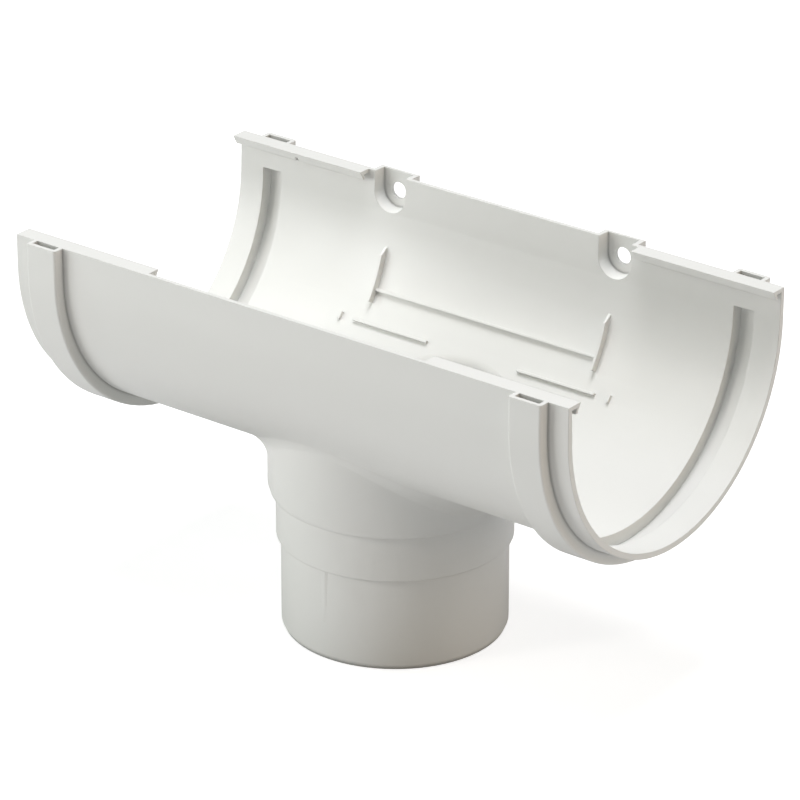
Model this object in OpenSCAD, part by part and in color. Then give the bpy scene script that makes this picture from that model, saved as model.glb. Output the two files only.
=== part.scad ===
// Running outlet for a deep half-round gutter: an open trough with a sealing band near each end,
// two screw pockets in the rear rim and a stepped spigot below for a round downpipe.
// Millimetres. X runs along the gutter, +Y is the fascia side, Z is up.
// The origin is on the spigot's axis, at its lower end.

/* [Trough] */
// Length along the gutter, end to end
body_length = 246; // [220:1:300]
// Width over the outside of the side walls
trough_width = 130; // [124:1:140]
// Wall thickness of trough and neck
wall = 2.2; // [1.8:0.1:2.8]
// Height of the straight wall above the half round
straight_wall = 12.1; // [10:0.1:20]
// Height of the trough's underside above the spigot's lower end
spigot_length = 66.1; // [60:0.1:90]

/* [Sealing bands] */
// Plain wall left outside each band
end_wall = 8.5; // [5:0.1:14]
// Width of each raised band
band_width = 13.5; // [12.5:0.1:18]
// How far a band stands out from the wall
band_rise = 4.4; // [4:0.1:6]
// Radius on the long outer edges of a band
band_edge_radius = 0.9; // [0.3:0.1:1.4]
// Width of the seal groove inside each band
groove_width = 8.8; // [7:0.1:10]
// Thickness left between the groove and the outside of the band
groove_skin = 1.6; // [1.2:0.1:2]
// How far the groove runs up past the half round
groove_rise = 0.5; // [0.2:0.1:3]
// Length of the rim slot that the groove runs into
slot_length = 10.2; // [8:0.1:11.5]

/* [Rim] */
// Reach of the rim lip, measured inward from the outside of the wall
lip_reach = 6.8; // [5:0.1:9]
// Thickness of the lip
lip_thickness = 1.5; // [1:0.1:2]
// Depth of the hook below the rim
hook_drop = 3.5; // [2.6:0.1:5]
// How far the hook leans back towards the wall
hook_lean = 1.9; // [0.5:0.1:2.5]
// Thickness of the hook
hook_thickness = 1.1; // [0.8:0.1:1.4]
// Length of plain rim between the lips
lip_gap = 123.2; // [122:0.1:150]
// Distance from the middle to the small notch in the left rear hook
notch_position = 93; // [84:0.1:96]
// Width of the notch
notch_width = 1.2; // [0.8:0.1:3]
// How far the notch runs up from the hook's lower edge
notch_height = 1.6; // [1:0.1:1.8]
// How much the straight wall thins on its inside, from the half round up to the rim
wall_draft = 0.5; // [0.2:0.1:0.8]

/* [Screw pockets] */
// Distance between the two screw holes
pocket_spacing = 102.6; // [98:0.1:104]
// Width of a pocket at its mouth
pocket_width = 14.6; // [12:0.1:15]
// How much a pocket closes in on each side towards its back
pocket_draft = 0.5; // [0.2:0.1:1]
// Depth of a pocket behind the outside of the wall
pocket_depth = 3.5; // [2.5:0.1:6]
// Wall thickness beside a pocket's mouth
pocket_skin = 1.6; // [1.2:0.1:2.5]
// Thickness of the plate at the back of a pocket
pocket_plate = 1.2; // [1:0.1:2.5]
// Distance of the screw holes below the rim
hole_drop = 7.8; // [7:0.1:9]
// Diameter of the screw holes
hole_diameter = 6.5; // [4.5:0.1:7]

/* [Spigot] */
// Outside diameter of the lower spigot, which enters the downpipe
spigot_diameter = 83.9; // [80:0.1:85]
// Height of the step where the lower spigot ends
spigot_step = 36.6; // [30:0.1:42]
// How far the middle band stands out from the lower spigot
middle_rise = 1.75; // [1.2:0.05:3]
// Height of the lower edge of the neck
neck_step = 54.8; // [50:0.1:56]
// How far the neck stands out from the middle band
neck_rise = 2.95; // [2.2:0.05:4]
// Height of the small taper at the foot of the neck
neck_taper_height = 2.4; // [1:0.1:3]
// Depth of that taper
neck_taper = 0.7; // [0.3:0.1:1]
// Wall thickness of the spigot and of the middle band
spigot_wall = 2.4; // [2:0.1:3]
// Height of the lead-in chamfer round the spigot's lower end
foot_chamfer_height = 1.8; // [1:0.1:3]
// Depth of that chamfer
foot_chamfer = 0.8; // [0.4:0.1:1.2]
// Radius of the blend between trough and neck, on the outside
blend_radius = 10; // [6:0.5:11]

/* [Inside ribs] */
// Thickness of the two upright ribs
upright_thickness = 1.1; // [0.8:0.1:2]
// How far the upright ribs stand out
upright_rise = 2.6; // [1.6:0.1:3.5]
// Angle of an upright rib's upper end below level
upright_top_angle = 14.8; // [12:0.1:18]
// Angle of its lower end
upright_foot_angle = 34.8; // [33:0.1:38]
// Thickness of the long ribs
long_rib_thickness = 1; // [0.8:0.1:1.6]
// How far the long ribs stand out
long_rib_rise = 1.2; // [0.8:0.1:1.6]
// Angle of the upper long rib below level
upper_rib_angle = 30; // [27:0.1:32]
// Angle of the lower ribs below level
lower_rib_angle = 42.2; // [41:0.1:46]
// Distance from the middle to the inner end of a lower rib
lower_rib_start = 20.8; // [15:0.1:30]
// Length of a lower rib
lower_rib_length = 34.7; // [20:0.1:38]
// Distance from the middle to the small end ticks
tick_position = 61.8; // [58:0.1:70]
// Length of a tick, in degrees round the wall
tick_span = 2.8; // [2:0.1:4]

/* [Hidden] */
$fn = 96;
outer_r = trough_width / 2;
inner_r = outer_r - wall;
centre_z = spigot_length + outer_r;
rim_z = centre_z + straight_wall;
band_r = outer_r + band_rise;
groove_r = band_r - groove_skin;
band_middle = body_length / 2 - end_wall - band_width / 2;
lip_length = (body_length - lip_gap) / 2;
pocket_r = pocket_width / 2;
pocket_back = outer_r + pocket_depth;
boss_back = pocket_back + pocket_plate;
spigot_r = spigot_diameter / 2;
middle_r = spigot_r + middle_rise;
neck_r = middle_r + neck_rise;
neck_bore_r = neck_r - wall;
ledge = spigot_wall;
join = 1;
blend_sink = 0.12;
blend_steps = 72;
blend_arc_steps = 8;

// Cross-section of a deep half round, centred on the half round's own centre
module half_round(r, top) {
    intersection() {
        union() {
            circle(r = r);
            translate([-r, 0]) square([2 * r, top]);
        }
        translate([-r - 1, -r - 1]) square([2 * r + 2, r + 1 + top]);
    }
}

// Cross-section of the trough's hollow, whose straight sides lean out up to the rim
module hollow() {
    lean = wall_draft * (straight_wall + 1) / straight_wall;
    circle(r = inner_r);
    polygon([
        [-inner_r, 0],
        [inner_r, 0],
        [inner_r + lean, straight_wall + 1],
        [-inner_r - lean, straight_wall + 1]
    ]);
}

// Turns a cross-section in Y and Z into a bar along X
module along_x(length) {
    translate([-length / 2, 0, centre_z])
        rotate([90, 0, 90])
            linear_extrude(height = length) children();
}

// Sweeps a profile round the half round and up both side walls.
// The profile's first axis points away from the trough, the second lies along X.
module sweep_round(top) {
    translate([0, 0, centre_z])
        rotate([0, 90, 0])
            rotate([0, 0, -90])
                rotate_extrude(angle = 180) children();
    translate([0, 0, centre_z])
        linear_extrude(height = top) rotate([0, 0, 90]) children();
    translate([0, 0, centre_z])
        linear_extrude(height = top) rotate([0, 0, -90]) children();
}

// Profile of a raised band: square inside the wall, rounded on its two outer edges
module band_profile() {
    e = band_edge_radius;
    half = band_width / 2;
    root = outer_r - join;
    translate([root, -half]) square([band_rise + join - e, band_width]);
    translate([root, -half + e]) square([band_rise + join, band_width - 2 * e]);
    translate([band_r - e, half - e]) circle(r = e);
    translate([band_r - e, -half + e]) circle(r = e);
}

// Centre of a ball that rests on the outside of trough and neck at plan angle a.
// The ball is sunk a little into both, so that the blend meets them in a clean line.
function ball_centre(a) =
    let(
        reach = neck_r + blend_radius - blend_sink,
        y = reach * sin(a),
        r = outer_r + blend_radius - blend_sink
    )
    [reach * cos(a), y, centre_z - sqrt(r * r - y * y)];

// Point at plan angle a where a radius from the spigot's axis meets a radius from the trough's axis
function corner(a, from_spigot, from_trough) =
    let(y = from_spigot * sin(a))
    [from_spigot * cos(a), y, centre_z - sqrt(from_trough * from_trough - y * y)];

// Point on the line from the trough's axis through the ball's centre c, at a given distance
function towards(c, distance) =
    let(k = distance / (outer_r + blend_radius - blend_sink))
    [c[0], c[1] * k, centre_z + (c[2] - centre_z) * k];

// One section of the blend: the ball's arc of radius r, closed off at a depth past both walls
function blend_section(a, r, depth) =
    let(
        c = ball_centre(a),
        at_spigot = neck_r + blend_radius - blend_sink - r,
        at_trough = outer_r + blend_radius - blend_sink - r,
        first = [at_spigot * cos(a), at_spigot * sin(a), c[2]],
        last = towards(c, at_trough),
        u = (first - c) / r,
        v = (last - c) / r,
        w = acos(u * v)
    )
    concat(
        [for (i = [0 : blend_arc_steps])
            let(t = i / blend_arc_steps)
            c + r * (u * sin((1 - t) * w) + v * sin(t * w)) / sin(w)],
        [
            towards(c, at_trough - depth),
            corner(a, at_spigot - depth, at_trough - depth),
            [(at_spigot - depth) * cos(a), (at_spigot - depth) * sin(a), c[2]]
        ]
    );

// Ring of such sections right round the neck
module blend_ring(r, depth) {
    count = blend_arc_steps + 4;
    points = [for (i = [0 : blend_steps - 1])
        each blend_section(360 * (i + 0.5) / blend_steps, r, depth)];
    faces = [for (i = [0 : blend_steps - 1], j = [0 : count - 1])
        let(
            a = i * count + j,
            b = i * count + (j + 1) % count,
            c = ((i + 1) % blend_steps) * count + (j + 1) % count,
            d = ((i + 1) % blend_steps) * count + j
        )
        each [[a, b, c], [a, c, d]]];
    polyhedron(points = points, faces = faces, convexity = 6);
}

// Outside of the spigot from its foot up into the trough's wall
module spigot_outside() {
    rotate_extrude()
        polygon([
            [0, 0],
            [spigot_r - foot_chamfer, 0],
            [spigot_r, foot_chamfer_height],
            [spigot_r, spigot_step],
            [middle_r, spigot_step],
            [middle_r, neck_step],
            [neck_r - neck_taper, neck_step],
            [neck_r, neck_step + neck_taper_height],
            [neck_r, centre_z],
            [0, centre_z]
        ]);
}

// Stepped bore, following the outside at an even thickness
module spigot_bore() {
    rotate_extrude()
        polygon([
            [0, -1],
            [spigot_r - spigot_wall, -1],
            [spigot_r - spigot_wall, spigot_step + ledge],
            [middle_r - spigot_wall, spigot_step + ledge],
            [middle_r - spigot_wall, neck_step + ledge],
            [neck_bore_r, neck_step + ledge],
            [neck_bore_r, centre_z],
            [0, centre_z]
        ]);
}

// Solid behind one screw pocket: round below, square up to the rim
module pocket_boss() {
    translate([0, boss_back, rim_z - hole_drop])
        rotate([90, 0, 0])
            linear_extrude(height = boss_back - outer_r + join)
                half_round(pocket_r + pocket_skin, hole_drop);
}

// Space of one screw pocket, widest at its mouth and open at the top, with its screw hole
module pocket_space() {
    mouth = inner_r - join;
    back_r = pocket_r - pocket_draft;
    translate([0, 0, rim_z - hole_drop]) {
        intersection() {
            translate([0, pocket_back, 0])
                rotate([90, 0, 0])
                    cylinder(r1 = back_r, r2 = pocket_r, h = pocket_back - mouth);
            translate([-pocket_r - 1, mouth - 1, -pocket_r - 1])
                cube([pocket_width + 2, pocket_back - mouth + 2, pocket_r + 1]);
        }
        linear_extrude(height = hole_drop + 1)
            polygon([
                [-back_r, pocket_back],
                [-pocket_r, mouth],
                [pocket_r, mouth],
                [back_r, pocket_back]
            ]);
        translate([0, boss_back + 1, 0])
            rotate([90, 0, 0]) cylinder(r = hole_diameter / 2, h = pocket_plate + 2);
    }
}

// Profile of the rim lip with its hook, on the +Y side
module lip_profile() {
    tip = outer_r - lip_reach;
    polygon([
        [outer_r - join, 0],
        [tip, 0],
        [tip + hook_lean, -hook_drop],
        [tip + hook_lean + hook_thickness, -hook_drop],
        [tip + lip_thickness * hook_lean / hook_drop + hook_thickness, -lip_thickness],
        [outer_r - join, -lip_thickness]
    ]);
}

// The four lips, one at each end of both rims
module rim_lips() {
    for (side = [0, 1], end = [0, 1])
        mirror([0, side, 0])
            mirror([end, 0, 0])
                translate([lip_gap / 2, 0, rim_z])
                    rotate([90, 0, 90])
                        linear_extrude(height = lip_length) lip_profile();
}

// Slice of the wall's inside between two angles below level, standing out by a rise
module wall_slice(rise, top_angle, lead_angle, foot_angle) {
    a = inner_r + join;
    b = inner_r;
    c = inner_r - rise - join;
    intersection() {
        difference() {
            circle(r = inner_r + join);
            circle(r = inner_r - rise);
        }
        polygon([
            [a * cos(top_angle), -a * sin(top_angle)],
            [b * cos(top_angle), -b * sin(top_angle)],
            [c * cos(lead_angle), -c * sin(lead_angle)],
            [c * cos(foot_angle), -c * sin(foot_angle)],
            [a * cos(foot_angle) * 1.1, -a * sin(foot_angle) * 1.1],
            [a * cos(top_angle) * 1.1, -a * sin(top_angle) * 1.1]
        ]);
    }
}

// Straight rib along the wall at one angle below level
module wall_rib(angle, start, length) {
    translate([start, 0, centre_z])
        rotate([-angle, 0, 0])
            translate([0, inner_r - long_rib_rise, -long_rib_thickness / 2])
                cube([length, long_rib_rise + join, long_rib_thickness]);
}

// Ribs inside one side wall, on the +Y side
module inside_ribs() {
    span = pocket_spacing;
    wall_rib(upper_rib_angle, -span / 2, span);
    for (end = [0, 1])
        mirror([end, 0, 0]) {
            translate([span / 2, 0, 0])
                along_x(upright_thickness)
                    wall_slice(upright_rise, upright_top_angle, upright_top_angle + 4.2, upright_foot_angle);
            translate([tick_position, 0, 0])
                along_x(long_rib_thickness)
                    wall_slice(
                        long_rib_rise,
                        lower_rib_angle - tick_span / 2,
                        lower_rib_angle - tick_span / 2,
                        lower_rib_angle + tick_span / 2
                    );
            wall_rib(lower_rib_angle, lower_rib_start, lower_rib_length);
        }
}

// Seal groove and the rim slots that it opens into, for one band
module band_space() {
    translate([band_middle, 0, 0]) {
        sweep_round(groove_rise)
            translate([inner_r - join, -groove_width / 2])
                square([groove_r - inner_r + join, groove_width]);
        for (side = [0, 1])
            mirror([0, side, 0])
                translate([-slot_length / 2, outer_r, centre_z])
                    cube([slot_length, groove_r - outer_r, straight_wall + 1]);
    }
}

// Everything solid on the outside, before the hollow is taken out
module outside() {
    along_x(body_length) half_round(outer_r, straight_wall);
    for (end = [0, 1])
        mirror([end, 0, 0])
            translate([band_middle, 0, 0])
                sweep_round(straight_wall) band_profile();
    for (end = [-1, 1])
        translate([end * pocket_spacing / 2, 0, 0]) pocket_boss();
    spigot_outside();
    blend_ring(blend_radius, join);
}

// The whole moulding
module outlet_body() {
    color([0.93, 0.93, 0.91])
        difference() {
            union() {
                difference() {
                    outside();
                    along_x(body_length + 2) hollow();
                    spigot_bore();
                    blend_ring(blend_radius + wall, join);
                }
                rim_lips();
                for (side = [0, 1])
                    mirror([0, side, 0]) inside_ribs();
            }
            for (end = [0, 1])
                mirror([end, 0, 0]) band_space();
            for (end = [-1, 1])
                translate([end * pocket_spacing / 2, 0, 0]) pocket_space();
            translate([-notch_position - notch_width / 2, outer_r - lip_reach - 1, rim_z - hook_drop - 1])
                cube([notch_width, lip_reach - wall, 1 + notch_height]);
        }
}

outlet_body();
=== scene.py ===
import math

import bmesh
import bpy
from mathutils import Matrix, Vector


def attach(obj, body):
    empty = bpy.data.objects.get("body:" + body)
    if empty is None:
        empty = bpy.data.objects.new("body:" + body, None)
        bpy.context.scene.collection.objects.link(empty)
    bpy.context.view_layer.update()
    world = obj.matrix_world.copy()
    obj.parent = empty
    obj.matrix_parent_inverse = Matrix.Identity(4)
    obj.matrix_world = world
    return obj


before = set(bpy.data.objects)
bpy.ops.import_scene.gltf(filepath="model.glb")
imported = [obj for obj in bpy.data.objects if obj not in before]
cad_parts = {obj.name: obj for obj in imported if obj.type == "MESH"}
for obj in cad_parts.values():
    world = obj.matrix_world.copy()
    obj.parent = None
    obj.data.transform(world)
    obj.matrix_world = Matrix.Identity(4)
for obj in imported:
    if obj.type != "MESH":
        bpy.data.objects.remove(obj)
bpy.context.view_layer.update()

scene = bpy.context.scene
scene.view_settings.view_transform = "Standard"


# The camera.
# It stands high on the right of the gutter's front side, far off and with a long lens, so that the
# trough's long edges run almost parallel and its open right end is seen from above.
TURN = math.radians(37.56)
TILT = math.radians(24.63)
ROLL = math.radians(0.12)
DISTANCE = 1.7176
LOOKED_AT = Vector((0.0013, 0.0010, 0.08827))

to_camera = Vector((math.sin(TURN) * math.cos(TILT), -math.cos(TURN) * math.cos(TILT), math.sin(TILT)))
level_right = Vector((math.cos(TURN), math.sin(TURN), 0))
level_up = to_camera.cross(level_right)
right = level_right * math.cos(ROLL) + level_up * math.sin(ROLL)
up = level_up * math.cos(ROLL) - level_right * math.sin(ROLL)

camera_data = bpy.data.cameras.new("camera")
camera_data.sensor_width = 36
camera_data.lens = 213.55
camera_data.clip_start = 0.1
camera_data.clip_end = 60
camera = bpy.data.objects.new("camera", camera_data)
camera.matrix_world = Matrix.Translation(LOOKED_AT + to_camera * DISTANCE) @ Matrix((right, up, to_camera)).transposed().to_4x4()
scene.collection.objects.link(camera)
scene.camera = camera


# The skin that white rigid PVC takes from a polished mould.
# It has a very faint cloudiness in its colour, where the melt ran, a gloss that wanders a little over
# centimetres, and a fine unevenness that only shows as a softer edge to the highlights.
skin = bpy.data.node_groups.new("moulded_skin", "ShaderNodeTree")
for name, kind, value in (
    ("Position", "NodeSocketVector", None),
    ("White", "NodeSocketColor", (0.86, 0.86, 0.84, 1)),
    ("Clouded white", "NodeSocketColor", (0.84, 0.84, 0.81, 1)),
    ("Gloss roughness", "NodeSocketFloat", 0.40),
    ("Dull roughness", "NodeSocketFloat", 0.50),
):
    socket = skin.interface.new_socket(name, in_out="INPUT", socket_type=kind)
    if value is not None:
        socket.default_value = value
for name, kind in (("Colour", "NodeSocketColor"), ("Roughness", "NodeSocketFloat"), ("Unevenness", "NodeSocketFloat")):
    skin.interface.new_socket(name, in_out="OUTPUT", socket_type=kind)

entry = skin.nodes.new("NodeGroupInput")
leave = skin.nodes.new("NodeGroupOutput")

flow = skin.nodes.new("ShaderNodeTexNoise")
flow.inputs["Scale"].default_value = 22
flow.inputs["Detail"].default_value = 3
flow.inputs["Distortion"].default_value = 0.6
skin.links.new(entry.outputs["Position"], flow.inputs["Vector"])

cloud = skin.nodes.new("ShaderNodeMix")
cloud.data_type = "RGBA"
skin.links.new(flow.outputs["Fac"], cloud.inputs["Factor"])
skin.links.new(entry.outputs["White"], cloud.inputs["A"])
skin.links.new(entry.outputs["Clouded white"], cloud.inputs["B"])
skin.links.new(cloud.outputs["Result"], leave.inputs["Colour"])

wander = skin.nodes.new("ShaderNodeTexNoise")
wander.inputs["Scale"].default_value = 55
wander.inputs["Detail"].default_value = 5
skin.links.new(entry.outputs["Position"], wander.inputs["Vector"])

gloss = skin.nodes.new("ShaderNodeMapRange")
gloss.inputs["From Min"].default_value = 0.3
gloss.inputs["From Max"].default_value = 0.7
skin.links.new(wander.outputs["Fac"], gloss.inputs["Value"])
skin.links.new(entry.outputs["Gloss roughness"], gloss.inputs["To Min"])
skin.links.new(entry.outputs["Dull roughness"], gloss.inputs["To Max"])
skin.links.new(gloss.outputs["Result"], leave.inputs["Roughness"])

fine = skin.nodes.new("ShaderNodeTexNoise")
fine.inputs["Scale"].default_value = 700
fine.inputs["Detail"].default_value = 4
skin.links.new(entry.outputs["Position"], fine.inputs["Vector"])
skin.links.new(fine.outputs["Fac"], leave.inputs["Unevenness"])


# The outlet's one moulding.
# It is a single injection moulding in white PVC. The mould's corners were polished by hand, so every
# edge has a radius of a few tenths of a millimetre, and the blend under the trough is smooth. Painted
# shade darkens the inside corners on its outside, while its inside and the seal grooves get none.
TROUGH_AXIS_HEIGHT = 0.1311
TROUGH_OUTER_RADIUS = 0.065
BAND_MIDDLE = 0.10775
GROOVE_HALF_WIDTH = 0.0051


def moulded_pvc(name, white, clouded, gloss, dull, edge_radius, painted_shade_reach, painted_shade_depth):
    material = bpy.data.materials.new(name)
    material.use_nodes = True
    nodes, links = material.node_tree.nodes, material.node_tree.links
    pvc = nodes["Principled BSDF"]
    pvc.inputs["IOR"].default_value = 1.53

    place = nodes.new("ShaderNodeTexCoord")
    surface = nodes.new("ShaderNodeGroup")
    surface.node_tree = skin
    surface.inputs["White"].default_value = white
    surface.inputs["Clouded white"].default_value = clouded
    surface.inputs["Gloss roughness"].default_value = gloss
    surface.inputs["Dull roughness"].default_value = dull
    links.new(place.outputs["Object"], surface.inputs["Position"])
    links.new(surface.outputs["Roughness"], pvc.inputs["Roughness"])

    # Painted shade: ambient occlusion darkens the colour in inside corners, only outside the trough and away from the
    # seal grooves.
    painted_corner_shade = nodes.new("ShaderNodeAmbientOcclusion")
    painted_corner_shade.samples = 8
    painted_corner_shade.inputs["Distance"].default_value = painted_shade_reach
    painted_shade_ramp = nodes.new("ShaderNodeMapRange")
    painted_shade_ramp.inputs["From Min"].default_value = 0.45
    painted_shade_ramp.inputs["From Max"].default_value = 0.85
    painted_shade_ramp.inputs["To Max"].default_value = 1
    from_axis = nodes.new("ShaderNodeVectorMath")
    from_axis.operation = "SUBTRACT"
    from_axis.inputs[1].default_value = (0, 0, TROUGH_AXIS_HEIGHT)
    square_on = nodes.new("ShaderNodeVectorMath")
    square_on.operation = "MULTIPLY"
    square_on.inputs[1].default_value = (0, 1, 1)
    away = nodes.new("ShaderNodeVectorMath")
    away.operation = "LENGTH"
    outside_only = nodes.new("ShaderNodeMapRange")
    outside_only.inputs["From Min"].default_value = TROUGH_OUTER_RADIUS - 0.0006
    outside_only.inputs["From Max"].default_value = TROUGH_OUTER_RADIUS - 0.0002
    links.new(place.outputs["Object"], from_axis.inputs[0])
    links.new(from_axis.outputs["Vector"], square_on.inputs[0])
    links.new(square_on.outputs["Vector"], away.inputs[0])
    links.new(away.outputs["Value"], outside_only.inputs["Value"])

    along = nodes.new("ShaderNodeSeparateXYZ")
    either_end = nodes.new("ShaderNodeMath")
    either_end.operation = "ABSOLUTE"
    from_band = nodes.new("ShaderNodeMath")
    from_band.operation = "SUBTRACT"
    from_band.inputs[1].default_value = BAND_MIDDLE
    off_band = nodes.new("ShaderNodeMath")
    off_band.operation = "ABSOLUTE"
    beside_groove = nodes.new("ShaderNodeMapRange")
    beside_groove.inputs["From Min"].default_value = GROOVE_HALF_WIDTH
    beside_groove.inputs["From Max"].default_value = GROOVE_HALF_WIDTH + 0.0004
    painted_shade_mask = nodes.new("ShaderNodeMath")
    painted_shade_mask.operation = "MULTIPLY"
    depth_of_shade = nodes.new("ShaderNodeMapRange")
    depth_of_shade.inputs["To Min"].default_value = 1
    depth_of_shade.inputs["To Max"].default_value = painted_shade_depth
    links.new(place.outputs["Object"], along.inputs["Vector"])
    links.new(along.outputs["X"], either_end.inputs[0])
    links.new(either_end.outputs["Value"], from_band.inputs[0])
    links.new(from_band.outputs["Value"], off_band.inputs[0])
    links.new(off_band.outputs["Value"], beside_groove.inputs["Value"])
    links.new(outside_only.outputs["Result"], painted_shade_mask.inputs[0])
    links.new(beside_groove.outputs["Result"], painted_shade_mask.inputs[1])
    links.new(painted_shade_mask.outputs["Value"], depth_of_shade.inputs["Value"])
    links.new(depth_of_shade.outputs["Result"], painted_shade_ramp.inputs["To Min"])
    painted_shade_colour = nodes.new("ShaderNodeMix")
    painted_shade_colour.data_type = "RGBA"
    painted_shade_colour.blend_type = "MULTIPLY"
    painted_shade_colour.inputs["Factor"].default_value = 1
    links.new(painted_corner_shade.outputs["AO"], painted_shade_ramp.inputs["Value"])
    links.new(surface.outputs["Colour"], painted_shade_colour.inputs["A"])
    links.new(painted_shade_ramp.outputs["Result"], painted_shade_colour.inputs["B"])
    links.new(painted_shade_colour.outputs["Result"], pvc.inputs["Base Color"])

    worn_edge = nodes.new("ShaderNodeBevel")
    worn_edge.samples = 6
    worn_edge.inputs["Radius"].default_value = edge_radius
    relief = nodes.new("ShaderNodeBump")
    relief.inputs["Strength"].default_value = 0.12
    relief.inputs["Distance"].default_value = 0.00006
    links.new(surface.outputs["Unevenness"], relief.inputs["Height"])
    links.new(worn_edge.outputs["Normal"], relief.inputs["Normal"])
    links.new(relief.outputs["Normal"], pvc.inputs["Normal"])
    return material


white_pvc = moulded_pvc(
    "moulded_white_pvc", (0.718, 0.720, 0.698, 1), (0.704, 0.706, 0.684, 1), 0.38, 0.48, 0.0004, 0.0018, 0.58
)

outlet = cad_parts["outlet_body"]
if outlet.material_slots:
    for place in outlet.material_slots:
        place.material = white_pvc
else:
    outlet.data.materials.append(white_pvc)

joined = outlet.modifiers.new("joined", "WELD")
joined.merge_threshold = 0.000005

smooth = bpy.data.node_groups.new("smooth_between_corners", "GeometryNodeTree")
smooth.interface.new_socket("Geometry", in_out="INPUT", socket_type="NodeSocketGeometry")
smooth.interface.new_socket("Geometry", in_out="OUTPUT", socket_type="NodeSocketGeometry")
entry = smooth.nodes.new("NodeGroupInput")
leave = smooth.nodes.new("NodeGroupOutput")
bare = smooth.nodes.new("GeometryNodeSetMeshNormal")
bare.mode = "SHARPNESS"
corner_angle = smooth.nodes.new("GeometryNodeInputMeshEdgeAngle")
is_corner = smooth.nodes.new("FunctionNodeCompare")
is_corner.operation = "GREATER_THAN"
is_corner.inputs["B"].default_value = math.radians(20)
smooth.links.new(entry.outputs["Geometry"], bare.inputs["Mesh"])
smooth.links.new(corner_angle.outputs["Unsigned Angle"], is_corner.inputs["A"])
smooth.links.new(is_corner.outputs["Result"], bare.inputs["Edge Sharpness"])
smooth.links.new(bare.outputs["Mesh"], leave.inputs["Geometry"])
smoothed = outlet.modifiers.new("smooth_between_corners", "NODES")
smoothed.node_group = smooth

flats = outlet.modifiers.new("flat_faces_kept", "WEIGHTED_NORMAL")
flats.mode = "FACE_AREA"
flats.weight = 70
flats.keep_sharp = True


# The parting seam.
# Where the two halves of the mould met, a low sharp line stands on the lower spigot, front and back.
# It starts under the step and runs out into the smooth wall about half way down.
SPIGOT_RADIUS = 0.04195
SEAM_TOP = 0.0366
SEAM_FOOT = 0.0150
SEAM_STEPS = 12
seam_mesh = bpy.data.meshes.new("parting_seam")
seam = bmesh.new()
for side in (-1, 1):
    rows = []
    for step in range(SEAM_STEPS + 1):
        share = step / SEAM_STEPS
        height = SEAM_FOOT + (SEAM_TOP - SEAM_FOOT) * share
        half_width = 0.0008 + 0.0007 * share
        crest = 0.00022 * share
        row = []
        for across, out in ((-1.15, -0.0005), (-1, -0.00001), (0.2, crest), (1, -0.00001), (1.15, -0.0005)):
            x = across * half_width
            y = side * (math.sqrt(SPIGOT_RADIUS ** 2 - x * x) + out)
            row.append(seam.verts.new((x, y, height)))
        rows.append(row)
    for lower, upper in zip(rows, rows[1:]):
        for i in range(5):
            j = (i + 1) % 5
            seam.faces.new((lower[i], lower[j], upper[j], upper[i]))
    seam.faces.new(rows[0])
    seam.faces.new(rows[-1])
bmesh.ops.recalc_face_normals(seam, faces=seam.faces)
seam.to_mesh(seam_mesh)
seam.free()
seam_line = bpy.data.objects.new("parting_seam", seam_mesh)
scene.collection.objects.link(seam_line)
seam_mesh.materials.append(white_pvc)
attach(seam_line, "root")


# The floor.
# A matt white sweep carries the outlet and its soft shadow. To the camera the lit floor is plain
# white, while the object only sees the light that matt paper throws back.
floor_mesh = bpy.data.meshes.new("floor")
sheet = bmesh.new()
bmesh.ops.create_circle(sheet, cap_ends=True, segments=96, radius=14)
sheet.to_mesh(floor_mesh)
sheet.free()
floor = bpy.data.objects.new("floor", floor_mesh)
scene.collection.objects.link(floor)

paper = bpy.data.materials.new("white_paper")
paper.use_nodes = True
nodes, links = paper.node_tree.nodes, paper.node_tree.links
matt = nodes["Principled BSDF"]
matt.inputs["Roughness"].default_value = 0.9
matt.inputs["Specular IOR Level"].default_value = 0
place = nodes.new("ShaderNodeTexCoord")
pulp = nodes.new("ShaderNodeTexNoise")
pulp.inputs["Scale"].default_value = 60
tone = nodes.new("ShaderNodeMix")
tone.data_type = "RGBA"
tone.inputs["A"].default_value = (0.60, 0.60, 0.60, 1)
tone.inputs["B"].default_value = (0.605, 0.605, 0.605, 1)
links.new(place.outputs["Object"], pulp.inputs["Vector"])
links.new(pulp.outputs["Fac"], tone.inputs["Factor"])
links.new(tone.outputs["Result"], matt.inputs["Base Color"])
glow = nodes.new("ShaderNodeEmission")
glow.inputs["Strength"].default_value = 0.70
seen = nodes.new("ShaderNodeLightPath")
both = nodes.new("ShaderNodeAddShader")
chosen = nodes.new("ShaderNodeMixShader")
links.new(matt.outputs["BSDF"], both.inputs[0])
links.new(glow.outputs["Emission"], both.inputs[1])
links.new(seen.outputs["Is Camera Ray"], chosen.inputs["Fac"])
links.new(matt.outputs["BSDF"], chosen.inputs[1])
links.new(both.outputs["Shader"], chosen.inputs[2])
links.new(chosen.outputs["Shader"], nodes["Material Output"].inputs["Surface"])
floor_mesh.materials.append(paper)


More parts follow.
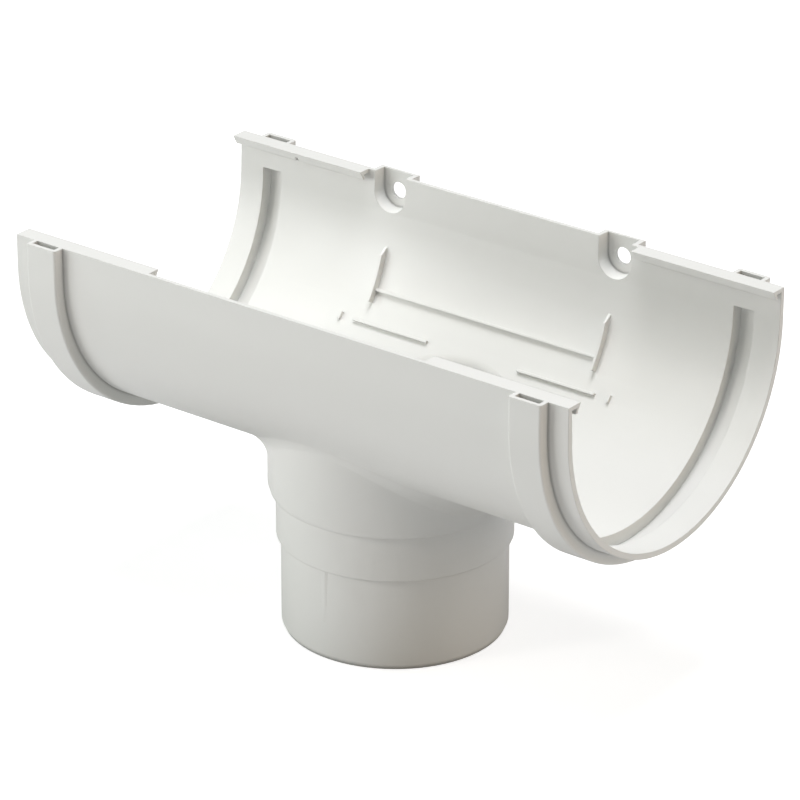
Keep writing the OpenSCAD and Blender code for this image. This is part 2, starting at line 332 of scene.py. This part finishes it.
# The studio.
# Large round soft lamps stand about the outlet: one straight above, one low on the left, and two weak
# ones low on the right that keep the spigot's far side from going dark. Two small lamps on the left
# draw the narrow shadows beside the bands and under the edges.
room = bpy.data.worlds.new("studio")
scene.world = room
room.use_nodes = True
nodes, links = room.node_tree.nodes, room.node_tree.links
air = nodes["Background"]
air.inputs["Color"].default_value = (1, 1, 1, 1)
air.inputs["Strength"].default_value = 0.14
white_air = nodes.new("ShaderNodeBackground")
white_air.inputs["Color"].default_value = (1, 1, 1, 1)
white_air.inputs["Strength"].default_value = 1
seen = nodes.new("ShaderNodeLightPath")
chosen = nodes.new("ShaderNodeMixShader")
links.new(seen.outputs["Is Camera Ray"], chosen.inputs["Fac"])
links.new(air.outputs["Background"], chosen.inputs[1])
links.new(white_air.outputs["Background"], chosen.inputs[2])
links.new(chosen.outputs["Shader"], nodes["World Output"].inputs["Surface"])

LAMP_DISTANCE = 1.8
for name, compass, height, width, power, colour in (
    ("lamp_above", 0, 90, 1.0, 30.8, (0.98, 0.98, 1.00)),
    ("lamp_left_low", 225, 5, 1.0, 15.8, (0.99, 1.00, 1.00)),
    ("small_lamp_front_left", 240, 30, 0.35, 5.6, (1.00, 0.97, 0.90)),
    ("small_lamp_left", 200, 30, 0.35, 3.2, (0.80, 1.00, 0.90)),
    ("lamp_right", 0, 20, 1.0, 6.6, (1.00, 0.81, 0.60)),
    ("lamp_back_right", 45, 20, 1.0, 6.0, (0.89, 0.94, 1.00)),
):
    around, above = math.radians(compass), math.radians(height)
    direction = Vector((math.cos(around) * math.cos(above), math.sin(around) * math.cos(above), math.sin(above)))
    lamp_data = bpy.data.lights.new(name, "AREA")
    lamp_data.shape = "DISK"
    lamp_data.size = width
    lamp_data.energy = power
    lamp_data.color = colour
    lamp = bpy.data.objects.new(name, lamp_data)
    lamp.matrix_world = Matrix.Translation(Vector((0, 0, 0.08)) + direction * LAMP_DISTANCE) @ direction.to_track_quat("Z", "Y").to_matrix().to_4x4()
    scene.collection.objects.link(lamp)
